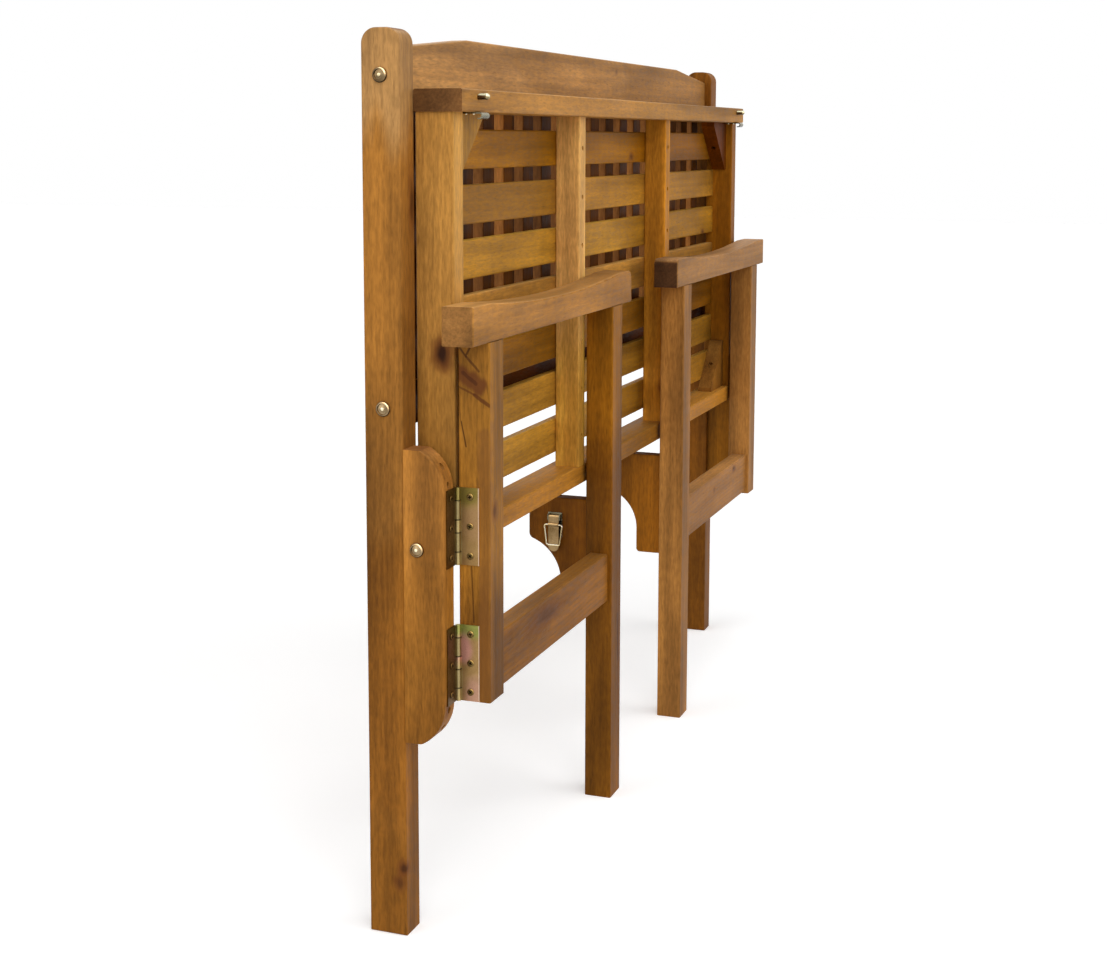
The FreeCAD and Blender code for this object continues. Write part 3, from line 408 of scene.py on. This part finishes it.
# The left arm post has a dark heart below the arm, with cracks that run out of it.
# Each streak is given by its two ends on the post's outer face, its width, its hue and how strong it is.
post_face = -0.5538
heart_streaks = [((post_face, *start), (post_face, *end), *look) for start, end, *look in (
    ((-0.0540, 0.2500), (-0.0540, 0.5100), 0.0075, (124, 80, 38), 0.6),
    ((-0.0250, 0.5710), (-0.0490, 0.5575), 0.0105, (98, 54, 26), 0.85),
    ((-0.0316, 0.5700), (-0.0448, 0.5600), 0.0024, (66, 34, 18), 0.6),
    ((-0.0440, 0.5485), (-0.0600, 0.5374), 0.0022, (84, 44, 20), 0.8),
    ((-0.0258, 0.5565), (-0.0440, 0.5485), 0.0012, (84, 46, 20), 0.7),
    ((-0.0420, 0.6001), (-0.0354, 0.5883), 0.0012, (62, 36, 16), 0.75),
    ((-0.0283, 0.5940), (-0.0350, 0.5860), 0.0012, (62, 36, 16), 0.75),
    ((-0.0350, 0.5860), (-0.0480, 0.5720), 0.0014, (70, 40, 18), 0.7),
    ((-0.0295, 0.5220), (-0.0345, 0.4970), 0.0009, (62, 34, 14), 0.8),
    ((-0.0270, 0.5480), (-0.0290, 0.5230), 0.0007, (84, 50, 22), 0.6),
    ((-0.0400, 0.3780), (-0.0420, 0.3220), 0.0009, (70, 40, 16), 0.7))]
# On the left arm post the casts are painted light and shade by height: a little paler at 0.36 to 0.43 up,
# darker below.
finish_board(
    "left_arm_post", "Z", (140, 93, 33), 27.0, pith=(0.04, 2.2), figure=1.5, streaks=heart_streaks,
    knots=(((-0.541, -0.0594, 0.433), 0.006, 0.009, 0.6),),
    casts=((0.36, 0.43, (276, 276, 268)), (0.2, 0.345, (212, 206, 205))))
finish_board("right_arm_post", "Z", (142, 96, 46), 28.0, pith=(0.07, 0.8))
# On the left front leg the casts are painted light and shade by height: paler high up, darker lower down.
finish_board(
    "left_front_leg", "Z", (119, 73, 16), 29.0, pith=(0.05, 0.4), figure=1.3,
    knots=(((-0.145, -0.0594, 0.19), 0.004, 0.110, 0.35),),
    streaks=(((-0.1480, -0.0590, 0.224), (-0.1450, -0.0594, 0.166), 0.0022, (58, 34, 22), 0.8),),
    casts=((0.46, 0.8, (284, 288, 262)), (0.26, 0.42, (230, 226, 222))))
finish_board("right_front_leg", "Z", (144, 97, 46), 30.0, pith=(0.09, 1.9))
finish_board(
    "left_cross_rail", "X", (127, 80, 27), 31.0, pith=(0.03, 1.4), figure=1.4,
    knots=(((-0.384, -0.0544, 0.284), 0.010, 0.045, 0.5),),
    casts=((-0.7, -0.42, (276, 276, 262)),))
finish_board(
    "right_cross_rail", "X", (151, 101, 47), 32.0, pith=(0.05, 1.9), figure=1.2,
    knots=(((0.444, -0.0544, 0.294), 0.005, 0.010, 0.7), ((0.327, -0.0544, 0.284), 0.004, 0.006, 0.4)))

# The front brackets, boards cut with a hollow that stand out behind the front legs.
# The seat's front rail rests on them in use, with its studs in their sockets.
finish_board("left_front_bracket", "Z", (111, 65, 13), 33.0, pith=(0.05, 2.6))
finish_board("right_front_bracket", "Z", (126, 75, 15), 34.0, pith=(0.06, 1.0))


# The bolts through the posts and blocks, with turned steel heads: a rim, a groove and a pointed middle.
# Each head is a disc that is inset step by step, and its shank is drawn out of its underside.
def plated(name, bright, dull, gloss, painted_highlight=0.6, shade=0.7, patches=(), seam_shade_heights=(), pin=(0.0, 0.0)):
    """A bare or plated metal with a painted highlight towards the lamps and painted shade away from them,
    scuffs, patches that are film colour, painted highlight and painted shade, and painted shade lines between
    knuckle and knuckle.
    """
    material = bpy.data.materials.new(name)
    material.use_nodes = True
    tree = material.node_tree
    shader = tree.nodes["Principled BSDF"]
    place = wired(tree, "TexCoord", {})
    where = place.outputs["Object"]
    cloud = wired(tree, "TexNoise", {"Vector": where, "Scale": 60.0, "Detail": 3.0}).outputs["Fac"]
    scuff = wired(tree, "TexNoise", {"Vector": where, "Scale": 900.0, "Detail": 3.0}).outputs["Fac"]
    colour = mixed(tree, stretched(tree, cloud, 0.3, 0.7), seen(*bright), seen(*dull))
    # Patches: the hinges' film colour, painted highlights on knuckle and leaf edge, and painted shade at a
    # stud's root.
    for centre, reach, hue in patches:
        gone = vector_of(tree, where, centre, "SUBTRACT")
        far = length_of(tree, vector_of(tree, gone, tuple(1 / r for r in reach), "MULTIPLY"))
        far = sum_of(tree, far, sum_of(tree, cloud, 0.6, "MULTIPLY"))
        colour = mixed(tree, stretched(tree, far, 0.8, 1.5, 0.85, 0.0), colour, seen(*hue))
    colour = mixed(tree, stretched(tree, scuff, 0.5, 0.8, 0.0, 0.3), colour, seen(*toned(dull, 0.6)))
    # Painted shade on faces turned from the lamps and a painted highlight on faces turned to them.
    lamp_way = (-0.2, -0.55, 0.8)
    facing = along_way(tree, place.outputs["Normal"], lamp_way)
    colour = mixed(tree, stretched(tree, facing, -0.6, 0.1, shade, 0.0), colour, seen(*toned(dull, 0.32)))
    colour = mixed(tree, stretched(tree, facing, 0.3, 0.8, 0.0, painted_highlight), colour, seen(*toned(bright, 1.7)))
    # Painted shade lines at each gap between knuckle and knuckle, close about the pin.
    if seam_shade_heights:
        split = wired(tree, "SeparateXYZ", {0: where})
        aside = sum_of(tree, size_of(tree, split.outputs[0]), -pin[0])
        ahead = sum_of(tree, split.outputs[1], -pin[1])
        off_pin = length_of(tree, wired(tree, "CombineXYZ", {0: aside, 1: ahead}).outputs[0])
        rolled = stretched(tree, off_pin, 0.0032, 0.0042, 0.8, 0.0)
        for height in seam_shade_heights:
            off = size_of(tree, sum_of(tree, split.outputs[2], -height))
            line = sum_of(tree, rolled, stretched(tree, off, 0.0004, 0.0010, 1.0, 0.0), "MULTIPLY")
            colour = mixed(tree, line, colour, seen(*toned(dull, 0.3)))
    tree.links.new(colour, shader.inputs["Base Color"])
    tree.links.new(stretched(tree, scuff, 0.3, 0.7, gloss, gloss + 0.16), shader.inputs["Roughness"])
    shader.inputs["Metallic"].default_value = 1.0
    bump = wired(tree, "Bump", {"Height": scuff, "Strength": 0.12, "Distance": 0.0003})
    tree.links.new(bump.outputs["Normal"], shader.inputs["Normal"])
    return material


def pick(piece, chosen):
    """Opens a piece for editing with only the chosen faces selected."""
    bpy.context.tool_settings.mesh_select_mode = (False, False, True)
    for face in piece.data.polygons:
        face.select = chosen(face)
    bpy.ops.object.mode_set(mode="EDIT")


def shanked(piece, head, shank, length):
    """Draws the shank out of the head's underside and smooths the piece."""
    pick(piece, lambda face: face.normal.z < -0.9)
    bpy.ops.mesh.inset(thickness=head - shank)
    bpy.ops.mesh.extrude_region_move(TRANSFORM_OT_translate={"value": (0.0, 0.0, -length)})
    bpy.ops.object.mode_set(mode="OBJECT")
    bpy.ops.object.shade_smooth_by_angle(angle=math.radians(30.0))


def turned_bolt(head, rise, shank, length):
    """A bolt that stands on its shank at the origin."""
    bpy.ops.object.select_all(action="DESELECT")
    bpy.ops.mesh.primitive_cylinder_add(vertices=48, radius=head, depth=rise * 0.4)
    bolt = bpy.context.object
    bolt.data.transform(Matrix.Translation((0.0, 0.0, rise * 0.2)))
    pick(bolt, lambda face: face.normal.z > 0.9)
    rim = ((0.06, 0.30), (0.12, 0.22), (0.06, 0.04))
    groove = ((0.07, -0.34),)
    point = ((0.26, 0.12), (0.22, 0.12), (0.12, 0.14))
    for inward, upward in rim + groove + point:
        bpy.ops.mesh.inset(thickness=head * inward, depth=rise * upward)
    bpy.ops.object.mode_set(mode="OBJECT")
    shanked(bolt, head, shank, length)
    # The steep faces take painted shade, and the faces about the axis a painted glint.
    flat, edge, tip = 0, 1, 2
    for face in bolt.data.polygons:
        if face.center.z > 0.0:
            steep = abs(face.normal.z) < 0.55
            near_axis = face.center.xy.length / head < 0.16
            face.material_index = tip if near_axis else edge if steep else flat
    return bolt


def set_out(pattern, name, places, materials, slot, body, *nodes):
    """Copies a pattern piece to each place and way it faces, joined to one piece in place of CAD nodes."""
    for material in materials:
        pattern.data.materials.append(material)
    copies = []
    for place, way, size in places:
        copy = pattern.copy()
        copy.data = pattern.data.copy()
        bpy.context.scene.collection.objects.link(copy)
        spun = Matrix.Rotation(0.7 + 2.1 * len(copies), 4, "Z") @ Matrix.Scale(size, 4)
        aimed = Vector(way).to_track_quat("Z", "Y").to_matrix().to_4x4()
        copy.data.transform(Matrix.Translation(place) @ aimed @ spun)
        copies.append(copy)
    bpy.ops.object.select_all(action="DESELECT")
    for copy in copies:
        copy.select_set(True)
    bpy.context.view_layer.objects.active = copies[0]
    bpy.ops.object.join()
    bpy.data.objects.remove(pattern)
    made = copies[0]
    made.name = name
    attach(made, body)
    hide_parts(*nodes)


# The bolts' steel, a darker copy as painted shade for the steep faces, and a pale copy as painted glint for
# the point.
bolt_steel = plated("bolt_steel", (150, 128, 96), (112, 92, 64), 0.20, painted_highlight=0.9, shade=0.9)
bolt_edge_shade = plated("bolt_edge_shade", (84, 66, 42), (52, 38, 22), 0.30, painted_highlight=0.9, shade=0.9)
bolt_tip_glint = plated("bolt_tip_glint", (236, 224, 190), (214, 196, 150), 0.14, painted_highlight=0.5, shade=0.2)
bolt_steel_and_painted_light = [bolt_steel, bolt_edge_shade, bolt_tip_glint]
for node in ("pivot_spacers", "rail_bolts", "seat_pivot_bolts"):
    dressed(node, bolt_steel)
both_sides = (-1.0, 1.0)
post_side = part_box("right_post")[1].x
bolt_shank, rail_bolt_length, pivot_bolt_length = 0.004, 0.085, 0.073
rail_bolt_heights = (0.535, 0.8554)
low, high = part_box("rail_bolts")
bolt_y = (low.y + high.y) / 2
rail_bolt = turned_bolt((high.y - low.y) / 2, high.x - post_side, bolt_shank, rail_bolt_length)
set_out(
    rail_bolt, "rail_bolts_turned",
    [((side * post_side, bolt_y, height), (side, 0.0, 0.0), 1.0)
     for side in both_sides for height in rail_bolt_heights],
    bolt_steel_and_painted_light, "bolt_steel", "back", "rail_bolts")
low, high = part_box("seat_pivot_bolts")
pivot_y, pivot_z = (low.y + high.y) / 2, (low.z + high.z) / 2
pivot_bolt = turned_bolt((high.y - low.y) / 2, high.x - post_side, bolt_shank, pivot_bolt_length)
set_out(
    pivot_bolt, "pivot_bolts_turned",
    [((side * post_side, pivot_y, pivot_z), (side, 0.0, 0.0), 1.0) for side in both_sides],
    bolt_steel_and_painted_light, "bolt_steel", "seat", "seat_pivot_bolts")


# The wood screws, yellow plated like the hinges, with pan heads and a cross recess for the driver.
# The recess is cut into each head with two crossed blades, and is painted near black, the shade inside it.
def crossed_screw(head, rise, shank, length):
    """A pan-head screw that stands on its shank at the origin, with a cross cut into it."""
    bpy.ops.object.select_all(action="DESELECT")
    bpy.ops.mesh.primitive_cylinder_add(vertices=28, radius=head, depth=rise)
    screw = bpy.context.object
    screw.data.transform(Matrix.Translation((0.0, 0.0, rise / 2)))
    pick(screw, lambda face: face.normal.z > 0.9)
    bpy.ops.mesh.bevel(offset=rise * 0.6, segments=3, affect="EDGES")
    bpy.ops.object.mode_set(mode="OBJECT")
    shanked(screw, head, shank, length)
    blade_size = Matrix.Diagonal((head * 1.15, head * 0.32, rise * 1.2, 1.0))
    for quarter in (0.0, math.pi / 2):
        bpy.ops.mesh.primitive_cube_add(size=1.0)
        blade = bpy.context.object
        turned = Matrix.Rotation(quarter, 4, "Z")
        blade.data.transform(Matrix.Translation((0.0, 0.0, rise)) @ turned @ blade_size)
        cut = screw.modifiers.new("recess", "BOOLEAN")
        cut.object, cut.operation = blade, "DIFFERENCE"
        bpy.context.view_layer.objects.active = screw
        bpy.ops.object.modifier_apply(modifier=cut.name)
        bpy.data.objects.remove(blade)
    # The faces inside the recess take the second material, painted shade.
    for face in screw.data.polygons:
        inside = face.center.xy.length < head * 0.62 and 0.0 < face.center.z < rise * 0.97
        face.material_index = int(inside)
    return screw


screw_steel = plated("screw_steel", (140, 116, 68), (96, 76, 42), 0.24, painted_highlight=0.7, shade=0.9)
# A darker copy of the screw steel, painted shade for the screws of the fixed leaves in the gap.
shaded_screw = plated("shaded_screw", (104, 80, 44), (76, 56, 28), 0.34, painted_highlight=0.25, shade=0.8)
recess_shade = plated("recess_shade", (40, 30, 16), (24, 18, 10), 0.5, painted_highlight=0.1)
for node in ("block_screws", "fixed_leaf_screws", "corner_block_screws", "left_frame_screws",
             "right_frame_screws"):
    dressed(node, screw_steel)
# The bearer screws, sunk in their holes, are painted near black, the shade in the holes.
dressed("bearer_screws", recess_shade)
# The catch screws are painted pale all over, a painted glint.
dressed("catch_screws", bolt_tip_glint)
screw_head, screw_rise, screw_shank, screw_length = 0.0035, 0.0011, 0.0016, 0.015
leaf_heights = (0.25075, 0.28025, 0.30975, 0.38875, 0.41825, 0.44775)
fixed_leaf_x, fixed_leaf_y = 0.5692, -0.0249
set_out(
    crossed_screw(screw_head, screw_rise, screw_shank, screw_length), "fixed_leaf_screws_crossed",
    [((side * fixed_leaf_x, fixed_leaf_y, height), (0.0, -1.0, 0.0), 1.0)
     for side in both_sides for height in leaf_heights],
    [shaded_screw, recess_shade], "screw_steel", "back", "fixed_leaf_screws")

# The screws of the side frames, plated like the others.
# Six of each frame hold the swinging leaves, and two smaller ones the latch's base.
swing_leaf_x, swing_leaf_y = 0.5551, -0.039
latch_x, latch_y, latch_heights, latch_screw_size = 0.1649, 0.0152, (0.321, 0.330), 0.65
for side, way in (("left", -1.0), ("right", 1.0)):
    leaf_places = [
        ((way * swing_leaf_x, swing_leaf_y, height), (way, 0.0, 0.0), 1.0) for height in leaf_heights]
    latch_places = [
        ((way * latch_x, latch_y, height), (way, 0.0, 0.0), latch_screw_size) for height in latch_heights]
    set_out(
        crossed_screw(screw_head, screw_rise, screw_shank, screw_length), f"{side}_frame_screws_crossed",
        leaf_places + latch_places,
        [screw_steel, recess_shade], "screw_steel", f"{side}_side_frame", f"{side}_frame_screws")

# Butt hinges bent from yellow-passivated zinc plate, whose film shades from gold to green and pink.
# The fixed leaves lie in the gap between block and frame, and are given a darker copy of the zinc as painted
# shade.
# Painted shade lines part each knuckle from the next, and each knuckle, rolled round its pin, has a painted
# pale highlight.
pin = (0.5564, -0.0262)
hinge_bottoms, knuckle_ends = (0.2415, 0.3795), (0.013, 0.03225, 0.04525, 0.0645)
seam_shade_heights = [bottom + up for bottom in hinge_bottoms for up in knuckle_ends]
hinge_middle, endless = 0.35, 9.0
# A painted pale highlight about each hinge pin.
knuckle_highlights = tuple(
    ((way * pin[0], pin[1], hinge_middle), (0.0045, 0.0045, endless), (164, 148, 104)) for way in both_sides)
leaf_x, leaf_edge = -0.554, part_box("left_swing_leaves")[0].y
# Patches of the zinc's film colour, and a painted highlight along the swing leaf's edge.
film_and_edge_highlight = (
    ((leaf_x, -0.036, 0.316), (0.02, 0.03, 0.013), (134, 142, 70)),
    ((leaf_x, -0.031, 0.294), (0.02, 0.012, 0.018), (192, 138, 126)),
    ((leaf_x, -0.044, 0.247), (0.02, 0.014, 0.022), (178, 136, 114)),
    ((leaf_x, -0.034, 0.452), (0.02, 0.020, 0.016), (116, 104, 44)),
    ((leaf_x, -0.044, 0.420), (0.02, 0.016, 0.020), (156, 122, 82)),
    ((leaf_x, leaf_edge, hinge_middle), (0.02, 0.0008, endless), (226, 200, 176)))
zinc_plate = plated(
    "zinc_plate", (166, 134, 86), (148, 117, 72), 0.30, painted_highlight=0.3,
    patches=knuckle_highlights + film_and_edge_highlight, seam_shade_heights=seam_shade_heights, pin=pin)
for node in ("left_swing_leaves", "right_swing_leaves", "hinge_pins"):
    dressed(node, zinc_plate)
zinc_shaded = plated(
    "zinc_shaded", (104, 76, 34), (84, 58, 24), 0.34, painted_highlight=0.0, patches=knuckle_highlights, seam_shade_heights=seam_shade_heights, pin=pin)
for node in ("left_fixed_leaves", "right_fixed_leaves"):
    dressed(node, zinc_shaded)

# The studs and catches of the seat, and the toggle latches of the brackets, nickel plated.
# A stud has painted shade where it leaves the rail. A latch's lever has gone brown, and its wire bail is
# pale.
nickel = plated("nickel", (122, 118, 98), (84, 80, 62), 0.18, painted_highlight=0.3, shade=0.95)
for node in ("left_catch", "right_catch"):
    dressed(node, nickel)
stud_x, stud_y, stud_z = 0.515, -0.034, 0.836
stud_root_shade = tuple(
    ((way * stud_x, stud_y, stud_z), (0.02, 0.0085, 0.02), (92, 72, 50)) for way in both_sides)
dressed("locating_studs", plated(
    "stud_steel", (178, 162, 126), (140, 122, 88), 0.16, painted_highlight=0.5, patches=stud_root_shade))
lever_plate = plated("lever_plate", (150, 124, 86), (116, 92, 58), 0.24, painted_highlight=0.6)
pale_wire = plated("pale_wire", (214, 196, 150), (180, 160, 116), 0.16, painted_highlight=0.7, shade=0.5)
for side in ("left", "right"):
    for piece, finish in (("latch_base", nickel), ("latch_pin", nickel), ("latch_lever", lever_plate),
                          ("latch_bail", pale_wire)):
        dressed(f"{side}_{piece}", finish)


# The studio: a pale paper floor and a white surround, which light the bench only a little.
# Soft lamps stand in front, at the left, above and behind, with a broad key lamp at the left.
def shown_white(tree):
    """1 for what the camera sees, also by gloss and through glass, and 0 for all other light."""
    path = wired(tree, "LightPath", {})
    shown = sum_of(tree, path.outputs["Is Camera Ray"], path.outputs["Is Glossy Ray"], "MAXIMUM")
    return sum_of(tree, shown, path.outputs["Is Transmission Ray"], "MAXIMUM")


world = bpy.data.worlds.new("studio")
bpy.context.scene.world = world
world.use_nodes = True
surround = world.node_tree.nodes["Background"]
surround.inputs["Color"].default_value = (1.0, 1.0, 1.0, 1.0)
surround_light = 0.20
world.node_tree.links.new(
    stretched(world.node_tree, shown_white(world.node_tree), 0.0, 1.0, surround_light, 1.0),
    surround.inputs["Strength"])

bpy.ops.object.select_all(action="DESELECT")
bpy.ops.mesh.primitive_plane_add(size=30.0, location=(0.0, 0.0, 0.0))
floor = bpy.context.object
floor.name = "studio_floor"
paper = bpy.data.materials.new("floor_paper")
paper.use_nodes = True
paper_shader = paper.node_tree.nodes["Principled BSDF"]
paper_shader.inputs["Base Color"].default_value = (0.93, 0.93, 0.93, 1.0)
paper_shader.inputs["Roughness"].default_value = 0.9
paper_shader.inputs["Specular IOR Level"].default_value = 0.0
paper_shader.inputs["Emission Color"].default_value = (1.0, 1.0, 1.0, 1.0)
paper_lift = 0.30
paper.node_tree.links.new(
    sum_of(paper.node_tree, shown_white(paper.node_tree), paper_lift, "MULTIPLY"),
    paper_shader.inputs["Emission Strength"])
floor.data.materials.append(paper)

lamps = []
for name, place, power in (
        ("left_lamp", (-2.4, -1.2, 1.2), 0.6), ("front_lamp", (0.5, -2.6, 1.6), 1.0),
        ("top_lamp", (-0.3, -0.2, 3.0), 1.15), ("back_lamp", (-2.0, 1.8, 0.9), 0.9)):
    lamp = bpy.data.lights.new(name, "SUN")
    lamp.energy, lamp.angle = power, math.radians(55.0)
    lamps.append((lamp, place))
key_lamp = bpy.data.lights.new("key_lamp", "AREA")
key_lamp.energy, key_lamp.size = 12.0, 1.3
lamps.append((key_lamp, (-1.75, -0.75, 1.8)))
bench_middle = (cad_low + cad_high) / 2
for lamp, place in lamps:
    lamp_holder = bpy.data.objects.new(lamp.name, lamp)
    bpy.context.scene.collection.objects.link(lamp_holder)
    lamp_holder.location = place
    lamp_holder.rotation_euler = (bench_middle - lamp_holder.location).to_track_quat("-Z", "Y").to_euler()

# The camera stands off the left end of the bench, just below the top of the posts.
# It looks along the folded bench and down a little, as for the photograph.
camera = bpy.data.cameras.new("camera")
camera.sensor_fit, camera.sensor_width, camera.lens, camera.shift_y = "HORIZONTAL", 36.0, 55.08, -0.125
camera_holder = bpy.data.objects.new("camera", camera)
bpy.context.scene.collection.objects.link(camera_holder)
camera_holder.location = (-2.0521, -0.6752, 0.7949)
tilt, roll, turn = 82.989, -0.119, -69.826
camera_holder.rotation_euler = (math.radians(tilt), math.radians(roll), math.radians(turn))
bpy.context.scene.camera = camera_holder
